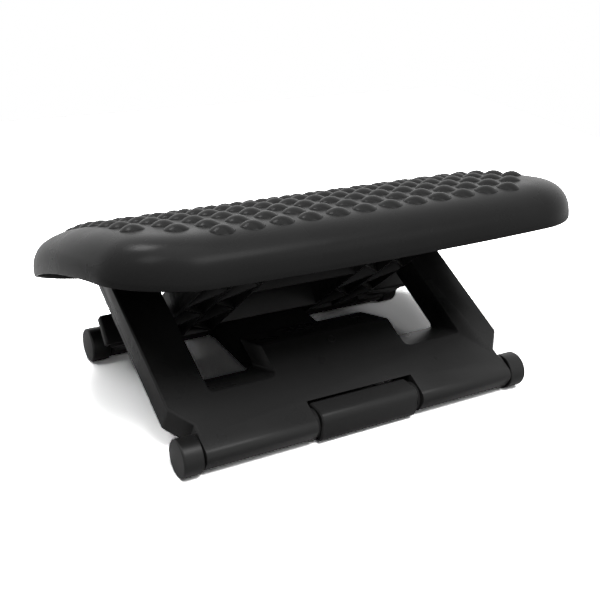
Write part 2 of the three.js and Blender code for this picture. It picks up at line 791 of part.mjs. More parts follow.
function add(parent, name, geometry, material) {
  const mesh = new THREE.Mesh(geometry, material);
  mesh.name = name;
  parent.add(mesh);
  return mesh;
}

function addLeg(parent, name, half, legGeometry, place, rodName) {
  add(parent, name, legGeometry, legPlastic);
  for (const [label, side] of [['left', -1], ['right', 1]]) {
    const hand = place.facing * side;
    const foot = add(parent, `${place.end}_foot_${label}`, footGeometry(hand), rubber);
    foot.rotation.x = -place.lean;
    const cap = add(parent, `${rodName}_cap_${label}`, capGeometry(hand, half), nylon);
    cap.position.y = legLength;
  }
  const rod = add(parent, rodName, rodGeometry(half), steel);
  rod.position.y = legLength;
}

const linkage = closeLinkage(rad(outerLean));
const half = axleSpacing / 2;
const footrest = new THREE.Group();

const base = new THREE.Group();
base.position.z = axleHeight;
add(base, 'spreader', spreaderGeometry(), legPlastic);
for (const [end, y] of [['toe', -half], ['heel', half]]) {
  const axle = add(base, `${end}_axle`, axleGeometry(), steel);
  axle.position.y = y;
  for (const [label, side] of [['left', -1], ['right', 1]]) {
    const bush = add(base, `${end}_bush_${label}`, bushGeometry(side), nylon);
    bush.position.y = y;
  }
}

const outerLeg = new THREE.Group();
outerLeg.position.set(0, -half, axleHeight);
outerLeg.rotation.x = rad(outerLean);
const outerPlace = { end: 'toe', facing: 1, lean: rad(outerLean) };
addLeg(outerLeg, 'outer_leg', legHalf, outerLegGeometry(), outerPlace, 'heel_rod');

const innerTurn = new THREE.Group();
innerTurn.position.set(0, half, axleHeight);
innerTurn.rotation.z = Math.PI;
const innerLeg = new THREE.Group();
innerLeg.rotation.x = linkage.innerLean;
innerTurn.add(innerLeg);
const innerPlace = { end: 'heel', facing: -1, lean: linkage.innerLean };
addLeg(innerLeg, 'inner_leg', innerHalf, innerLegGeometry(), innerPlace, 'toe_rod');

const footplate = new THREE.Group();
footplate.rotation.x = linkage.slope;
const middle = linkage.toeRod.clone().add(linkage.heelRod).multiplyScalar(0.5);
const ahead = new THREE.Vector2(Math.cos(linkage.slope), Math.sin(linkage.slope));
const up = new THREE.Vector2(-ahead.y, ahead.x);
const crown = middle.clone().addScaledVector(ahead, treadShift).addScaledVector(up, hingeDrop);
footplate.position.set(0, crown.x, crown.y + axleHeight);
add(footplate, 'footplate', footplateGeometry(), treadPlastic);
for (const [end, y, play] of [['toe', rodY[0], seatPlay], ['heel', rodY[1], 0]]) {
  for (const [label, x] of [['left', -bracketX], ['right', bracketX]]) {
    add(footplate, `${end}_bracket_${label}`, bracketGeometry(x, play), nylon).position.set(x, y, 0);
  }
}
screwSpots().forEach(([x, y], i) => {
  add(footplate, `bracket_screw_${i + 1}`, screwGeometry(), steel).position.set(x, y, 0);
});

footrest.add(base, outerLeg, innerTurn, footplate);
footrest.updateMatrixWorld(true);
const bounds = new THREE.Box3().setFromObject(footrest, true);
footrest.position.y = -(bounds.min.y + bounds.max.y) / 2;

export default footrest;
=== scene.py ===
# %% [markdown]
# # A tilting footrest for under a desk
#
# This lesson dresses a measured model of a rocking footrest: a curved black footplate covered
# with round domes, carried by two crossed legs that stand on rubber feet. The measured parts are
# loaded first and never moved. Smooth skins, rounded edges, materials, light and a camera are
# then added around them.

import json
import math

import bpy
import numpy as np
from mathutils import Matrix, Vector


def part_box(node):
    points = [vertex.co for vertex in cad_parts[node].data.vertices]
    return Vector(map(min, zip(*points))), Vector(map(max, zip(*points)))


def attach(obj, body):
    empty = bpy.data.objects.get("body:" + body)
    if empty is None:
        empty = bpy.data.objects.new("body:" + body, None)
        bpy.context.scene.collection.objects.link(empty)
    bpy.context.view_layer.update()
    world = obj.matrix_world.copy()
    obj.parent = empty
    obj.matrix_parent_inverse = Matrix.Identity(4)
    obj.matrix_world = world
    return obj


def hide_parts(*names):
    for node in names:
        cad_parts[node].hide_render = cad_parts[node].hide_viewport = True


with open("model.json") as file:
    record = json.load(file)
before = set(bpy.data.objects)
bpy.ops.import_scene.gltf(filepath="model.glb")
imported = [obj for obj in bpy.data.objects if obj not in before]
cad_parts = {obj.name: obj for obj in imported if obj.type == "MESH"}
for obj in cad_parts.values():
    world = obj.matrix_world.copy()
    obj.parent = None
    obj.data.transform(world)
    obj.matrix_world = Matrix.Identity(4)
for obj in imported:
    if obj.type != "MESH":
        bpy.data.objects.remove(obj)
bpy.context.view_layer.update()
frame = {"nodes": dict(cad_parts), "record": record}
MM = 0.001

# %% [markdown]
# ## The camera
#
# The picture was taken from the left on the toe side, from a little above. The place and the
# focal length were worked out from straight edges and circles of the object. The camera's axes
# are written down as they were solved, with a roll of three and a half degrees, because an aim
# and an up vector alone would level it.

# %% Camera
LENS_PX, PICTURE_PX, SENSOR_MM = 948.2, 600, 36
CAMERA_PLACE = Vector((-420.6, -686.43, 443.1)) * MM
CAMERA_RIGHT = Vector((0.86132, -0.50501, 0.05553))
CAMERA_UP = Vector((0.17091, 0.39094, 0.90441))
CLOSEST = 50 * MM

camera_data = bpy.data.cameras.new("camera")
camera_data.sensor_width = SENSOR_MM
camera_data.lens = SENSOR_MM * LENS_PX / PICTURE_PX
camera_data.clip_start = CLOSEST
camera = bpy.data.objects.new("camera", camera_data)
bpy.context.scene.collection.objects.link(camera)
axes = Matrix((CAMERA_RIGHT, CAMERA_UP, CAMERA_RIGHT.cross(CAMERA_UP))).transposed()
camera.matrix_world = Matrix.LocRotScale(CAMERA_PLACE, axes.to_quaternion(), None)
bpy.context.scene.camera = camera
print("lens", round(camera_data.lens, 2), "mm")

# %% [markdown]
# ## Colours and nodes
#
# Colours are read off a screen as sRGB hex values, but shaders add up light, so each value is
# turned to linear first. One helper adds a node, sets it and links it, so a material reads as a
# short list of its steps.

# %% Helpers for materials


def linear(hex_colour):
    channels = [int(hex_colour[i:i + 2], 16) / 255 for i in (1, 3, 5)]
    straight = [c / 12.92 if c <= 0.04045 else ((c + 0.055) / 1.055) ** 2.4 for c in channels]
    return (*straight, 1.0)


def add(tree, kind, settings=None, inputs=None):
    """Adds a node. Settings are its own fields, inputs are values or output sockets."""
    node = tree.nodes.new(kind)
    for name, value in (settings or {}).items():
        setattr(node, name, value)
    for name, value in (inputs or {}).items():
        if isinstance(value, bpy.types.NodeSocket):
            tree.links.new(value, node.inputs[name])
        else:
            node.inputs[name].default_value = value
    return node


def new_material(name):
    material = bpy.data.materials.new(name)
    material.use_nodes = True
    material.node_tree.nodes.clear()
    return material, material.node_tree


print("#808080 is", round(linear("#808080")[0], 3), "in linear light")

# %% [markdown]
# ## Moulded plastic with a fine grain
#
# The footplate and the legs are injection moulded polypropylene. The mould is spark eroded or
# etched, which leaves a fine pebbled grain that breaks up the gloss. The grain could be modelled
# or painted, but it is far too small and too even for that, so two noises make it: a fine one
# for the bump, and a broad one that changes tint and roughness a little, as handling and the
# flow of the plastic do. The real grain is too fine to show from here, so it is drawn at about
# a millimetre. It swallows most of the gloss, so the specular level is far below the usual half.

# %% Plastic
GRAIN_DEPTH, PATCH_WIDTH = 0.15 * MM, 45 * MM


def grained_plastic(name, colour, worn, grain, bump, roughness, gloss):
    material, tree = new_material(name)
    place = add(tree, "ShaderNodeTexCoord")
    fine = add(tree, "ShaderNodeTexNoise", None, {
        "Vector": place.outputs["Object"], "Scale": 1 / grain, "Detail": 3.0, "Roughness": 0.6})
    broad = add(tree, "ShaderNodeTexNoise", None, {
        "Vector": place.outputs["Object"], "Scale": 1 / PATCH_WIDTH, "Detail": 4.0,
        "Roughness": 0.55})
    tint = add(tree, "ShaderNodeMix", {"data_type": "RGBA"}, {
        "Factor": broad.outputs["Fac"], "A": linear(colour), "B": linear(worn)})
    satin = add(tree, "ShaderNodeMapRange", None, {
        "Value": broad.outputs["Fac"], "From Min": 0.3, "From Max": 0.7,
        "To Min": roughness - 0.05, "To Max": roughness + 0.06})
    pebbles = add(tree, "ShaderNodeBump", None, {
        "Height": fine.outputs["Fac"], "Strength": bump, "Distance": GRAIN_DEPTH})
    surface = add(tree, "ShaderNodeBsdfPrincipled", None, {
        "Base Color": tint.outputs["Result"], "Roughness": satin.outputs["Result"],
        "IOR": 1.49, "Specular IOR Level": gloss, "Normal": pebbles.outputs["Normal"]})
    add(tree, "ShaderNodeOutputMaterial", None, {"Surface": surface.outputs["BSDF"]})
    return material


finishes = {
    "tread_plastic": grained_plastic("moulded_polypropylene_tread", "#292929", "#2E2E2E",
                                     grain=1.1 * MM, bump=0.3, roughness=0.27, gloss=0.07),
    # Legs coloured lighter than the tread: painted light lifting them out of the footplate's
    # shade.
    "leg_plastic": grained_plastic("polypropylene_legs_lightened_against_shade", "#3F3F3F", "#444444",
                                   grain=0.9 * MM, bump=0.25, roughness=0.3, gloss=0.12),
    "nylon": grained_plastic("moulded_nylon", "#353535", "#3B3B3B",
                             grain=0.7 * MM, bump=0.2, roughness=0.4, gloss=0.06)}
print("plastics:", [material.name for material in finishes.values()])

# %% [markdown]
# ## Rubber
#
# The feet are compression moulded rubber, a bit darker than the footplate, with a satin skin
# and a very fine powdery bloom that comes to the surface with age. The bloom is a soft noise in
# the colour, and the powder a weak bump, so that the skin isn't as even as paint.

# %% Rubber
BLOOM_WIDTH, POWDER_GRAIN, POWDER_DEPTH = 14 * MM, 0.8 * MM, 0.1 * MM


def bloomed_rubber(name):
    material, tree = new_material(name)
    place = add(tree, "ShaderNodeTexCoord")
    bloom = add(tree, "ShaderNodeTexNoise", None, {
        "Vector": place.outputs["Object"], "Scale": 1 / BLOOM_WIDTH, "Detail": 6.0,
        "Roughness": 0.7})
    tint = add(tree, "ShaderNodeMix", {"data_type": "RGBA"}, {
        "Factor": bloom.outputs["Fac"], "A": linear("#252525"), "B": linear("#2C2C2C")})
    powder = add(tree, "ShaderNodeTexNoise", None, {
        "Vector": place.outputs["Object"], "Scale": 1 / POWDER_GRAIN, "Detail": 2.0})
    skin = add(tree, "ShaderNodeBump", None, {
        "Height": powder.outputs["Fac"], "Strength": 0.25, "Distance": POWDER_DEPTH})
    surface = add(tree, "ShaderNodeBsdfPrincipled", None, {
        "Base Color": tint.outputs["Result"], "Roughness": 0.38, "IOR": 1.52,
        "Specular IOR Level": 0.25, "Normal": skin.outputs["Normal"]})
    add(tree, "ShaderNodeOutputMaterial", None, {"Surface": surface.outputs["BSDF"]})
    return material


finishes["rubber"] = bloomed_rubber("moulded_rubber")
print("rubber:", finishes["rubber"].name)

# %% [markdown]
# ## Zinc plated steel
#
# The rods, the axles and the screws are drawn steel with a bright zinc coat. The bars were
# ground round before they were plated, which leaves faint rings around them. A noise that is
# squeezed along the bar and stretched across it gives such rings in the tint and the polish,
# with no picture to wrap round the bar.

# %% Steel
RING_WIDTH, RING_REACH = 0.6 * MM, 9 * MM


def zinc_steel(name):
    material, tree = new_material(name)
    place = add(tree, "ShaderNodeTexCoord")
    squeezed = add(tree, "ShaderNodeMapping", None, {
        "Vector": place.outputs["Object"],
        "Scale": (1 / RING_WIDTH, 1 / RING_REACH, 1 / RING_REACH)})
    rings = add(tree, "ShaderNodeTexNoise", None, {
        "Vector": squeezed.outputs["Vector"], "Scale": 1.0, "Detail": 3.0})
    tint = add(tree, "ShaderNodeMix", {"data_type": "RGBA"}, {
        "Factor": rings.outputs["Fac"], "A": linear("#8F9296"), "B": linear("#B4B6B8")})
    polish = add(tree, "ShaderNodeMapRange", None, {
        "Value": rings.outputs["Fac"], "To Min": 0.24, "To Max": 0.4})
    surface = add(tree, "ShaderNodeBsdfPrincipled", None, {
        "Base Color": tint.outputs["Result"], "Metallic": 1.0,
        "Roughness": polish.outputs["Result"]})
    add(tree, "ShaderNodeOutputMaterial", None, {"Surface": surface.outputs["BSDF"]})
    return material


finishes["steel"] = zinc_steel("drawn_steel_zinc_plated")
print("steel:", finishes["steel"].name)

# %% [markdown]
# ## Dressing the measured parts
#
# Every measured part carries the name of its finish, so a loop dresses them all. Rods, axles and
# screws stay as they are after that, since a plain cylinder is all that they are. The other
# parts get a finer piece in their place further down.

# %% Dress the measured parts


def dress(piece, material):
    piece.data.materials.clear()
    piece.data.materials.append(material)


for part in frame["record"]["subparts"]:
    dress(frame["nodes"][part["node"]], finishes[part["material_slot"]])
print("dressed", len(frame["nodes"]), "measured parts")

# %% [markdown]
# ## Where the pieces go
#
# Everything hangs on four parallel bars: two axles in the feet's bars and two pivot rods under
# the footplate. Their middles are read off the measured parts. The footplate is drawn flat, with
# its crown at the origin, and is then tilted and lifted onto the rods in one step, which is
# easier than drawing on a slope.

# %% Places read off the measured parts
TREAD_SHIFT, HINGE_DROP = 4.6 * MM, 33.9 * MM  # from the middle of the rods to the crown


def middle(node):
    low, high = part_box(node)
    return (low + high) / 2


toe_axle, heel_axle = middle("toe_axle"), middle("heel_axle")
toe_rod, heel_rod = middle("toe_rod"), middle("heel_rod")
slope = math.atan2(heel_rod.z - toe_rod.z, heel_rod.y - toe_rod.y)
tilt = Matrix.Rotation(slope, 4, "X")
crown = (toe_rod + heel_rod) / 2 + tilt @ Vector((0, TREAD_SHIFT, HINGE_DROP))
on_footplate = Matrix.Translation(crown) @ tilt
print("slope", round(math.degrees(slope), 2), "degrees, crown at", [round(c, 4) for c in crown])

# %% [markdown]
# ## The outline of the footplate
#
# Seen from above, the footplate is a rounded rectangle with bowed sides, tighter corners at the
# raised toe side and wide ones at the heel side. It could be a scaled plane with a bevel on its
# corners, but the bow and the two sizes of corner are easier to hold as points: four arcs, the
# straight runs between them, and then a bow that fades out towards the corners.

# %% Outline
HALF_X, HALF_Y = 213 * MM, 164 * MM
BOW_X, BOW_Y = 14.7 * MM, 10.7 * MM
TOE_CORNER, HEEL_CORNER = 58 * MM, 110 * MM
CORNER_STEPS, END_STEPS, SIDE_STEPS = 20, 36, 24


def outline(inset):
    """Points round the footplate, drawn in by the inset."""
    arcs = []
    for quarter, (side_x, side_y, radius) in enumerate((
            (1, 1, HEEL_CORNER), (-1, 1, HEEL_CORNER), (-1, -1, TOE_CORNER), (1, -1, TOE_CORNER))):
        turns = [math.pi / 2 * (quarter + k / CORNER_STEPS) for k in range(CORNER_STEPS + 1)]
        arcs.append([(side_x * (HALF_X - radius) + (radius - inset) * math.cos(a),
                      side_y * (HALF_Y - radius) + (radius - inset) * math.sin(a)) for a in turns])
    flat = []
    for arc, following, steps in zip(arcs, arcs[1:] + arcs[:1], (END_STEPS, SIDE_STEPS) * 2):
        (x0, y0), (x1, y1) = arc[-1], following[0]
        flat += arc
        flat += [(x0 + (x1 - x0) * k / steps, y0 + (y1 - y0) * k / steps) for k in range(1, steps)]
    half_x, half_y = HALF_X - inset, HALF_Y - inset
    bowed = []
    for x, y in flat:
        share_x, share_y = x / half_x, y / half_y
        bowed.append((x + BOW_X * half_x / HALF_X * (1 - share_y ** 2) * share_x,
                      y + BOW_Y * half_y / HALF_Y * (1 - share_x ** 2) * share_y))
    return bowed


rim = np.array(outline(0))
print("rim", [round(size / MM, 1) for size in np.ptp(rim, axis=0)], "mm,", len(rim), "points")

# %% [markdown]
# ## The bend and the roll
#
# The whole tread is bent round a large cylinder, and its edge rolls over all round. Blender has
# a bend modifier, but measured sizes along the bend are easier to keep with one small function
# that says where a place on the flat tread ends up. A second one gives the section of the roll,
# which is a little fuller than a quarter of an ellipse.

# %% Bend and roll
CROWN_RADIUS = 650 * MM
ROLL_RUN, ROLL_DROP, ROLL_SHARE = 37.5 * MM, 32.9 * MM, 0.79


def on_crown(x, u, depth):
    """The place at x across and u along the bent tread, that deep under its skin."""
    angle, radius = u / CROWN_RADIUS, CROWN_RADIUS - depth
    return Vector((x, radius * math.sin(angle), radius * math.cos(angle) - CROWN_RADIUS))


def roll(t):
    """Inset and depth along the rolled edge, t from 0 at the rim to 1 at the tread."""
    a = t * math.pi / 2
    return (ROLL_RUN * (1 - max(math.cos(a), 0) ** ROLL_SHARE),
            ROLL_DROP * (1 - math.sin(a) ** ROLL_SHARE))


print("halfway up, the roll is", [round(d / MM, 1) for d in roll(0.5)], "mm in and down")

# %% [markdown]
# ## Working by hand, in code
#
# An operator acts on whatever is selected. So each of these helpers selects one piece first, and
# nothing else, before it edits the piece or applies a modifier to it.

# %% Helpers for editing


def take(piece):
    bpy.ops.object.select_all(action="DESELECT")
    bpy.context.view_layer.objects.active = piece
    piece.select_set(True)
    return piece


def edit(piece, operator, everything=True, **settings):
    take(piece)
    bpy.ops.object.mode_set(mode="EDIT")
    if everything:
        bpy.ops.mesh.select_all(action="SELECT")
    operator(**settings)
    bpy.ops.object.mode_set(mode="OBJECT")
    return piece


def modify(piece, kind, **settings):
    take(piece)
    modifier = piece.modifiers.new(kind.lower(), kind)
    for name, value in settings.items():
        setattr(modifier, name, value)
    bpy.ops.object.modifier_apply(modifier=modifier.name)
    return piece


# %% [markdown]
# ## Drawing ring by ring
#
# Most pieces here are smooth skins round a closed outline: the footplate, its bumps, the rubber
# feet, the bushes. By hand they are drawn as one circle that is extruded over and over, each
# time moved to the next outline. The helper below does just that. After an extrusion only the
# new edge is selected, so its points are found by what is selected, and each goes to the next
# ring by its place on the last one.

# %% Helpers for rings


def angles(count):
    return [2 * math.pi * i / count for i in range(count)]


def lay_ring(piece, before, ring):
    """Moves the selected points, which sit on the ring before, to the next ring."""
    picked = [v for v in piece.data.vertices if v.select]
    here = np.array([v.co for v in picked])
    old = np.array([tuple(p) for p in before])
    nearest = ((here[:, None] - old[None]) ** 2).sum(axis=2).argmin(axis=1)
    for vertex, i in zip(picked, nearest):
        vertex.co = ring[i]


def ring_by_ring(name, rings, ends=2):
    """A circle extruded from ring to ring. Closed at two ends, the last one, or neither."""
    bpy.ops.object.select_all(action="DESELECT")
    count = len(rings[0])
    bpy.ops.mesh.primitive_circle_add(vertices=count, radius=1)
    piece = bpy.context.object
    piece.name = name
    for vertex in piece.data.vertices:
        vertex.select = True
    lay_ring(piece, [(math.cos(a), math.sin(a), 0) for a in angles(count)], rings[0])
    for before, ring in zip(rings, rings[1:]):
        edit(piece, bpy.ops.mesh.extrude_region_move, everything=before is rings[0])
        lay_ring(piece, before, ring)
    if ends == 1:
        edit(piece, bpy.ops.mesh.edge_face_add, everything=False)
    if ends == 2:
        edit(piece, bpy.ops.mesh.fill_holes, sides=0)
    return edit(piece, bpy.ops.mesh.normals_make_consistent, inside=False)


# %% [markdown]
# ## The skin of the footplate
#
# The real one is a single shell of polypropylene, three millimetres thick. The outline is drawn
# at the rim, then stepped inwards and upwards along the roll's section, and closed over the
# middle. A plane with a wide bevel would be quicker, but its edge wouldn't roll over evenly. A
# solidify modifier gives the wall, and a small bevel softens the rim.

# %% Skin
WALL, RIM_EDGE, ROLL_STEPS = 3 * MM, 0.7 * MM, 16
TREAD_SHARES = (0.9, 0.78, 0.64, 0.5, 0.36, 0.22, 0.1)  # rings over the tread, from the roll in

skin_rings = []
for inset, depth in [roll(k / ROLL_STEPS) for k in range(ROLL_STEPS + 1)]:
    skin_rings.append([on_crown(x, u, depth) for x, u in outline(inset)])
tread_edge = outline(ROLL_RUN)
for share in TREAD_SHARES:
    skin_rings.append([on_crown(x * share, u * share, 0) for x, u in tread_edge])
footplate_shell = ring_by_ring("footplate_shell", skin_rings, ends=1)
modify(footplate_shell, "SOLIDIFY", thickness=WALL, offset=-1, use_even_offset=True)
modify(footplate_shell, "BEVEL", width=RIM_EDGE, segments=2, limit_method="ANGLE",
       angle_limit=math.radians(55))
print("footplate", [round(d / MM, 1) for d in footplate_shell.dimensions], "mm")

# %% [markdown]
# ## The massage bumps
#
# One hundred and eighty low domes stand on the tread in twelve rows, 25 mm apart, with fewer in
# the rows that meet the rounded corners. Each is a smooth cap about 20 mm wide and 4 mm high. A
# slice of a sphere would look much the same, but drawn ring by ring, each ring can be told how
# closely it follows the skin. So one dome is drawn that way, and every other one is a copy.

# %% Bumps
COLUMN_PITCH, ROW_PITCH = 24.6 * MM, 25 * MM
DOMES_IN_ROW = (12, 14, 16, 16, 16, 16, 16, 16, 16, 16, 14, 12)
DOME_SIDES = 16
# Radius and height of each ring in mm, and how closely it follows the skin below
DOME_RINGS = (
    (10.1, -0.6, 1), (9.8, 0.1, 1), (9.0, 0.85, 1), (7.6, 1.8, 0.8), (5.6, 2.85, 0.5),
    (3.3, 3.65, 0.2), (1.2, 4.0, 0.1))


def spread(count, pitch):
    """That many places, evenly about the middle."""
    return [(i - (count - 1) / 2) * pitch for i in range(count)]


def join(name, pieces):
    take(pieces[0])
    for piece in pieces[1:]:
        piece.select_set(True)
    bpy.ops.object.join()
    pieces[0].name = name
    return pieces[0]


dome = ring_by_ring("tread_bumps", [
    [(radius * MM * math.cos(a), radius * MM * math.sin(a), height * MM)
     for a in angles(DOME_SIDES)] for radius, height, _ in DOME_RINGS])
domes = []
for u, count in zip(spread(len(DOMES_IN_ROW), ROW_PITCH), DOMES_IN_ROW):
    for x in spread(count, COLUMN_PITCH):
        copy = dome.copy()
        copy.data = dome.data.copy()
        upright = Matrix.Rotation(-u / CROWN_RADIUS, 4, "X")
        copy.data.transform(Matrix.Translation(on_crown(x, u, 0)) @ upright)
        bpy.context.scene.collection.objects.link(copy)
        domes.append(copy)
bpy.data.objects.remove(dome)
tread_bumps = join("tread_bumps", domes)
print(len(domes), "bumps in", len(DOMES_IN_ROW), "rows")

# %% [markdown]
# ## The domes at the edge
#
# The outer domes reach over the rolled edge, and would hang in the air there. So a ray is sent
# down through each of their points to find the skin. The foot of a dome drops by all of what the
# skin has fallen, and its top by only a little, which keeps the top level with its neighbours.

# %% Drop the domes' feet onto the skin
RAY_START, FALL_TO_NOTICE = 50 * MM, 0.05 * MM

dropped = 0
for vertex in tread_bumps.data.vertices:
    x, y, z = vertex.co
    crown_z = math.sqrt(CROWN_RADIUS ** 2 - y ** 2) - CROWN_RADIUS
    hit, spot, _, _ = footplate_shell.ray_cast(Vector((x, y, RAY_START)), Vector((0, 0, -1)))
    follow = DOME_RINGS[vertex.index // DOME_SIDES % len(DOME_RINGS)][2]
    if hit and crown_z - spot.z > FALL_TO_NOTICE:
        vertex.co.z = z - follow * (crown_z - spot.z)
        dropped += 1
print(dropped, "points of the outer bumps follow the rolled edge")

# %% [markdown]
# ## Ribs under the footplate
#
# A moulded shell this wide is stiffened by thin ribs. They follow the bend of the tread and run
# into the wall of the rolled edge. They could be cut from flat sheets with a boolean, but that
# leaves slivers at their ends. So each rib is a small rectangle that is extruded along the
# tread, and its ends are worked out on the slope of the roll.

# %% Where a rib ends
RIB, RIB_TOP, RIB_FOOT = 2 * MM, 1.5 * MM, 10 * MM  # thickness, and depths under the tread
RIB_SINK = 0.1 * MM


def mid_wall(depth):
    """Outline halfway into the wall of the roll at that depth."""
    run, drop, half_wall = ROLL_RUN - WALL / 2, ROLL_DROP - WALL / 2, WALL / 2
    sine = (1 - (depth - half_wall) / drop) ** (1 / ROLL_SHARE)
    return outline(half_wall + run * (1 - max(0, 1 - sine ** 2) ** (ROLL_SHARE / 2)))


def reach(points, axis, at, side):
    """Where the outline crosses the line on which the other coordinate is at, on that side."""
    other = 1 - axis
    spots = []
    for p, q in zip(points, points[1:] + points[:1]):
        if (p[other] - at) * (q[other] - at) <= 0 and p[other] != q[other]:
            t = (at - p[other]) / (q[other] - p[other])
            spots.append(p[axis] + t * (q[axis] - p[axis]))
    return max(spots) if side > 0 else min(spots)


under_tread, rib_edge = mid_wall(RIB_TOP + RIB_SINK), mid_wall(RIB_FOOT)
print("the longest rib reaches", round(reach(rib_edge, 0, 0, 1) / MM, 1), "mm to each side")

# %% Ribs
RIB_COLUMNS, RIB_ROWS, RIB_PITCH_X, RIB_PITCH_Y = 5, 6, 76 * MM, 50 * MM
ACROSS, ALONG = 0, 1
BENT_STEPS = 14


def rib(axis, at, steps):
    """A strip from wall to wall along that axis. Its other coordinate is at."""
    ends = [[reach(points, axis, at, side) for side in (-1, 1)]
            for points in (under_tread, rib_edge)]
    rings = []
    for k in range(steps + 1):
        run = [low + (high - low) * k / steps for low, high in ends]
        ring = []
        for level, face in ((0, -1), (0, 1), (1, 1), (1, -1)):
            x, u = run[level], at + face * RIB / 2
            if axis == ALONG:
                x, u = u, x
            ring.append(on_crown(x, u, (RIB_TOP, RIB_FOOT)[level]))
        rings.append(ring)
    return ring_by_ring("rib", rings)


ribs = [rib(ALONG, x, BENT_STEPS) for x in spread(RIB_COLUMNS, RIB_PITCH_X)]
ribs += [rib(ACROSS, u, 1) for u in spread(RIB_ROWS, RIB_PITCH_Y)]
print(len(ribs), "ribs")

# %% [markdown]
# ## Screw bosses
#
# Short round bosses hang from the tread and take the screws of the rod brackets. Each is a
# cylinder from just above the bracket's flange up into the tread, with a soft edge. It could be
# extruded out of the tread, but a separate cylinder keeps the tread's even faces. They are
# joined to the ribs, as both are one moulding with the shell.

# %% Screw bosses
ROD_HALF = 74.004 * MM  # half the distance between the rods
BRACKET_X, SCREW_SHIFT, SCREW_REACH = 98 * MM, 12 * MM, 18.5 * MM
BRACKET_SINK, BOSS_GAP = 18.4 * MM, 0.3 * MM  # crown to flange, and flange to boss
BOSS_RADIUS, BOSS_SIDES, BOSS_EDGE = 4.6 * MM, 24, 0.5 * MM

boss_foot = BOSS_GAP - BRACKET_SINK
for rod_y in (-TREAD_SHIFT - ROD_HALF, ROD_HALF - TREAD_SHIFT):
    for x in (-BRACKET_X, BRACKET_X):
        for end in (-1, 1):
            u = rod_y + end * SCREW_REACH
            boss_head = on_crown(0, u, RIB_TOP).z
            bpy.ops.object.select_all(action="DESELECT")
            bpy.ops.mesh.primitive_cylinder_add(
                vertices=BOSS_SIDES, radius=BOSS_RADIUS, depth=boss_head - boss_foot,
                location=(x + end * math.copysign(SCREW_SHIFT, x), u, (boss_head + boss_foot) / 2))
            bpy.ops.object.transform_apply()
            ribs.append(modify(bpy.context.object, "BEVEL", width=BOSS_EDGE, segments=2,
                               limit_method="ANGLE", angle_limit=math.radians(60)))
footplate_ribs = join("footplate_ribs", ribs)
print("ribs and bosses,", len(footplate_ribs.data.vertices), "points")

# %% [markdown]
# ## Onto the rods
#
# The three pieces of the footplate are still level, with the crown at the origin. Their points
# are moved, and not the objects, so that the patterns in the materials stay put when the
# footplate rocks. Each piece is then told which body it rides on and which measured part it
# takes the place of.

# %% Set the footplate on its rods


def finish_piece(piece, slot, body, nodes=(), smooth=40):
    take(piece)
    bpy.ops.object.shade_smooth_by_angle(angle=math.radians(smooth))
    dress(piece, finishes[slot])
    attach(piece, body)
    if nodes:
        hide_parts(*nodes)
    print(piece.name, len(piece.data.polygons), "faces")
    return piece


for piece in (footplate_shell, tread_bumps, footplate_ribs):
    piece.data.transform(on_footplate)
    finish_piece(piece, "tread_plastic", "footplate", ["footplate"])

# %% [markdown]
# ## The legs, the spreader and the rod brackets
#
# These are mouldings with flat faces and small, even edge radii, which catch a thin line of
# light. Their shapes are right as measured, but their edges are dead sharp. Drawing them anew
# would risk their fit, so each is copied, its loose triangles are welded and merged into flat
# faces, and a bevel modifier rounds every hard edge by well under a millimetre.

# %% Rounded mouldings
LEG_EDGE, BRACKET_EDGE, WELD = 0.6 * MM, 0.5 * MM, 0.004 * MM


def rounded_copy(node, edge, slot, body):
    piece = bpy.data.objects.new(node + "_moulding", frame["nodes"][node].data.copy())
    bpy.context.scene.collection.objects.link(piece)
    edit(piece, bpy.ops.mesh.remove_doubles, threshold=WELD)
    edit(piece, bpy.ops.mesh.dissolve_limited, angle_limit=math.radians(1.5))
    modify(piece, "BEVEL", width=edge, segments=2, limit_method="ANGLE",
           angle_limit=math.radians(38), use_clamp_overlap=True)
    return finish_piece(piece, slot, body, [node], smooth=35)


for node, body in (("outer_leg", "outer_leg"), ("inner_leg", "inner_leg"), ("spreader", "base")):
    rounded_copy(node, LEG_EDGE, "leg_plastic", body)
for end in ("toe", "heel"):
    for side in ("left", "right"):
        rounded_copy(f"{end}_bracket_{side}", BRACKET_EDGE, "nylon", "footplate")

# %% [markdown]
# ## Rubber feet
#
# A foot is a cup of rubber pushed over the end of the bar, with a soft outer edge. It could be
# a cylinder with a bevel, but its mouth has another edge than its end, so it is turned: a
# section of distances along the bar and radii, and a circle that follows it.

# %% Feet
SIDES = (("left", -1), ("right", 1))
FOOT_RADIUS, FOOT_EDGE, FOOT_MOUTH, FOOT_MOUTH_RUN = 15.98 * MM, 1.9 * MM, 15.4 * MM, 0.6 * MM
FOOT_BORE, FOOT_BORE_DEPTH = 10.95 * MM, 11.9 * MM


def turned(name, axis, section, count=48, ends=2):
    """Rings of [distance along X, radius] about an axis that runs along X."""
    return ring_by_ring(name, [
        [(x, axis.y + radius * math.cos(a), axis.z + radius * math.sin(a)) for a in angles(count)]
        for x, radius in section], ends)


def rounded_end(x, radius, edge, side, steps=4):
    """Section of an outer edge, from the side face round to the end face."""
    arc = [math.pi / 2 * k / steps for k in range(steps + 1)]
    return [(x + side * edge * (math.sin(a) - 1), radius + edge * (math.cos(a) - 1)) for a in arc]


def mouth_and_tip(node, side):
    """Where the measured part starts and stops, from the middle outwards."""
    low, high = (corner.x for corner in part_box(node))
    return (high, low) if side < 0 else (low, high)


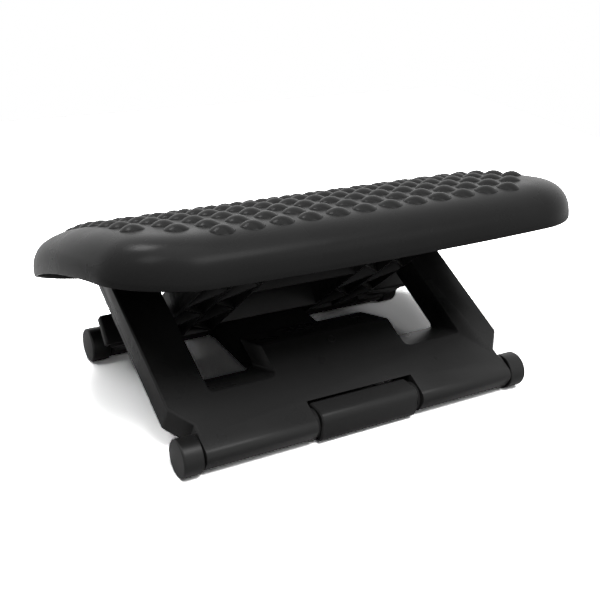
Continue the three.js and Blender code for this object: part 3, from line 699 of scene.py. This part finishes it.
for end, axis, body in (("toe", toe_axle, "outer_leg"), ("heel", heel_axle, "inner_leg")):
    for label, side in SIDES:
        node = f"{end}_foot_{label}"
        mouth, tip = mouth_and_tip(node, side)
        section = [(mouth + side * FOOT_BORE_DEPTH, FOOT_BORE), (mouth, FOOT_BORE),
                   (mouth, FOOT_MOUTH), (mouth + side * FOOT_MOUTH_RUN, FOOT_RADIUS)]
        foot = turned(node + "_rubber", axis,
                      section + rounded_end(tip, FOOT_RADIUS, FOOT_EDGE, side))
        finish_piece(foot, "rubber", body, [node])

# %% [markdown]
# ## Bushes
#
# A bush is a nylon ring on the axle, between the foot bar and the knuckle, and keeps the two
# from rubbing. Its section is closed on itself, so it has no ends to fill: the first and the
# last ring lie on each other and are welded.

# %% Bushes
BUSH_RADIUS, BUSH_FACE, BUSH_EDGE, BORE = 12.75 * MM, 12 * MM, 0.6 * MM, 4.4 * MM

for end, axis in (("toe", toe_axle), ("heel", heel_axle)):
    for label, side in SIDES:
        node = f"{end}_bush_{label}"
        low, high = sorted(mouth_and_tip(node, side))
        section = [(low, BORE), (low, BUSH_FACE), (low + BUSH_EDGE, BUSH_RADIUS),
                   (high - BUSH_EDGE, BUSH_RADIUS), (high, BUSH_FACE), (high, BORE), (low, BORE)]
        bush = turned(node + "_ring", axis, section, ends=0)
        edit(bush, bpy.ops.mesh.remove_doubles, threshold=WELD)
        edit(bush, bpy.ops.mesh.normals_make_consistent, inside=False)
        finish_piece(bush, "nylon", "base", [node])

# %% [markdown]
# ## Rod caps
#
# A push-on cap closes each end of the pivot rods and keeps the rod from sliding out. It is
# turned as the feet are, with fewer sides, since it is small and sits in the shade.

# %% Rod caps
CAP_RADIUS, CAP_EDGE, CAP_ROOF, CAP_SIDES = 7 * MM, 1.4 * MM, 1.4 * MM, 32

for end, axis, body in (("toe", toe_rod, "inner_leg"), ("heel", heel_rod, "outer_leg")):
    for label, side in SIDES:
        node = f"{end}_rod_cap_{label}"
        mouth, tip = mouth_and_tip(node, side)
        section = [(tip - side * CAP_ROOF, BORE), (mouth, BORE), (mouth, CAP_RADIUS)]
        cap = turned(node + "_push_on", axis,
                     section + rounded_end(tip, CAP_RADIUS, CAP_EDGE, side), CAP_SIDES)
        finish_piece(cap, "nylon", body, [node])

# %% [markdown]
# ## The mark on the tongue
#
# A small raised ring shows in the middle of the front leg's tongue, where the plastic was
# injected. It is a thin torus, half sunk into the face, because a bump in the material would
# leave nothing for the light to catch from the side.

# %% Injection mark
MARK_UP_THE_LEG, MARK_OUT = 68 * MM, 14.1 * MM  # from the toe axle
MARK_RADIUS, MARK_THICKNESS = 3.4 * MM, 0.9 * MM

up_the_leg = (heel_rod - toe_axle).normalized()
out_of_face = Vector((1, 0, 0)).cross(up_the_leg)
facing = Matrix((Vector((1, 0, 0)), up_the_leg, out_of_face)).transposed()
bpy.ops.object.select_all(action="DESELECT")
bpy.ops.mesh.primitive_torus_add(
    major_radius=MARK_RADIUS, minor_radius=MARK_THICKNESS / 2, major_segments=40,
    minor_segments=10, rotation=facing.to_euler(),
    location=toe_axle + up_the_leg * MARK_UP_THE_LEG + out_of_face * MARK_OUT)
bpy.ops.object.transform_apply()
mark = bpy.context.object
mark.name = "injection_mark"
finish_piece(mark, "leg_plastic", "outer_leg")

# %% [markdown]
# ## Floor and background
#
# The product stands on a white sweep that has burnt out to pure white, while the soft shadow
# under it stays. More light would burn out the floor too, but it would wash out the black
# plastic. The paper's colour is therefore lifted for the camera alone. Mirror rays see it as
# plain white, and it gives the object only a little light back from below.

# %% Floor and background
FLOOR_WIDTH, FLOOR_DROP = 1900 * MM, 0.2 * MM
PAPER_BURN, PAPER_BOUNCE, ROOM_LIGHT = 5.8, 0.25, 0.02


def any_ray(tree, *kinds):
    """1 for a ray of one of these kinds, and 0 for any other."""
    path = add(tree, "ShaderNodeLightPath")
    value = path.outputs[kinds[0]]
    for kind in kinds[1:]:
        value = add(tree, "ShaderNodeMath", {"operation": "MAXIMUM"}, {
            0: value, 1: path.outputs[kind]}).outputs["Value"]
    return value


def sweep_paper(name):
    material, tree = new_material(name)
    lit = add(tree, "ShaderNodeMapRange", None, {
        "Value": any_ray(tree, "Is Glossy Ray", "Is Transmission Ray"),
        "To Min": PAPER_BOUNCE, "To Max": 1.0})
    burnt_out = add(tree, "ShaderNodeMath", {"operation": "MULTIPLY_ADD"}, {
        0: any_ray(tree, "Is Camera Ray"), 1: PAPER_BURN, 2: lit.outputs["Result"]})
    paper = add(tree, "ShaderNodeBsdfDiffuse", None, {"Color": burnt_out.outputs["Value"]})
    add(tree, "ShaderNodeOutputMaterial", None, {"Surface": paper.outputs["BSDF"]})
    return material


bpy.ops.object.select_all(action="DESELECT")
bpy.ops.mesh.primitive_plane_add(size=FLOOR_WIDTH, location=(0, 0, -FLOOR_DROP))
floor = bpy.context.object
floor.name = "floor"
dress(floor, sweep_paper("white_sweep_paper"))

world = bpy.data.worlds.new("studio")
bpy.context.scene.world = world
world.use_nodes = True
world.node_tree.nodes.clear()
level = add(world.node_tree, "ShaderNodeMapRange", None, {
    "Value": any_ray(world.node_tree, "Is Camera Ray", "Is Glossy Ray", "Is Transmission Ray"),
    "To Min": ROOM_LIGHT, "To Max": 1.0})
sky = add(world.node_tree, "ShaderNodeBackground", None, {
    "Color": (1, 1, 1, 1), "Strength": level.outputs["Result"]})
add(world.node_tree, "ShaderNodeOutputWorld", None, {"Surface": sky.outputs["Background"]})
print("floor", FLOOR_WIDTH, "m wide, world", world.name)

# %% [markdown]
# ## Light
#
# The object gets plain, soft light from five lamps. A large one overhead and one above the front
# do most of it. One on the left and a weak one at the right fill in the sides. A small one
# behind and above the left is the one that puts the sharp highlights on the domes and on the
# rolled edge: its place was found by following those highlights back off the domes.

# %% Lamps
LAMPS_AIM = Vector((0, 0, 0.1))


def soft_lamp(name, place, size, watts):
    data = bpy.data.lights.new(name, "AREA")
    data.shape = "RECTANGLE"
    data.size, data.size_y = size
    data.energy = watts
    lamp = bpy.data.objects.new(name, data)
    bpy.context.scene.collection.objects.link(lamp)
    lamp.location = place
    lamp.rotation_euler = (LAMPS_AIM - Vector(place)).to_track_quat("-Z", "Y").to_euler()
    return lamp


soft_lamp("overhead", (-0.2, -0.1, 1.5), (1.2, 1.2), 6.5)
soft_lamp("front_above", (0.15, -0.85, 1.45), (0.9, 0.5), 10)
soft_lamp("left_side", (-1.1, -0.1, 1.5), (0.5, 0.5), 3.6)
soft_lamp("right_front", (0.75, -1.2, 0.9), (0.6, 0.5), 1)
soft_lamp("behind_above", (-0.38, 0.74, 1.2), (0.35, 0.3), 4.5)
bpy.context.scene.view_settings.view_transform = "Standard"
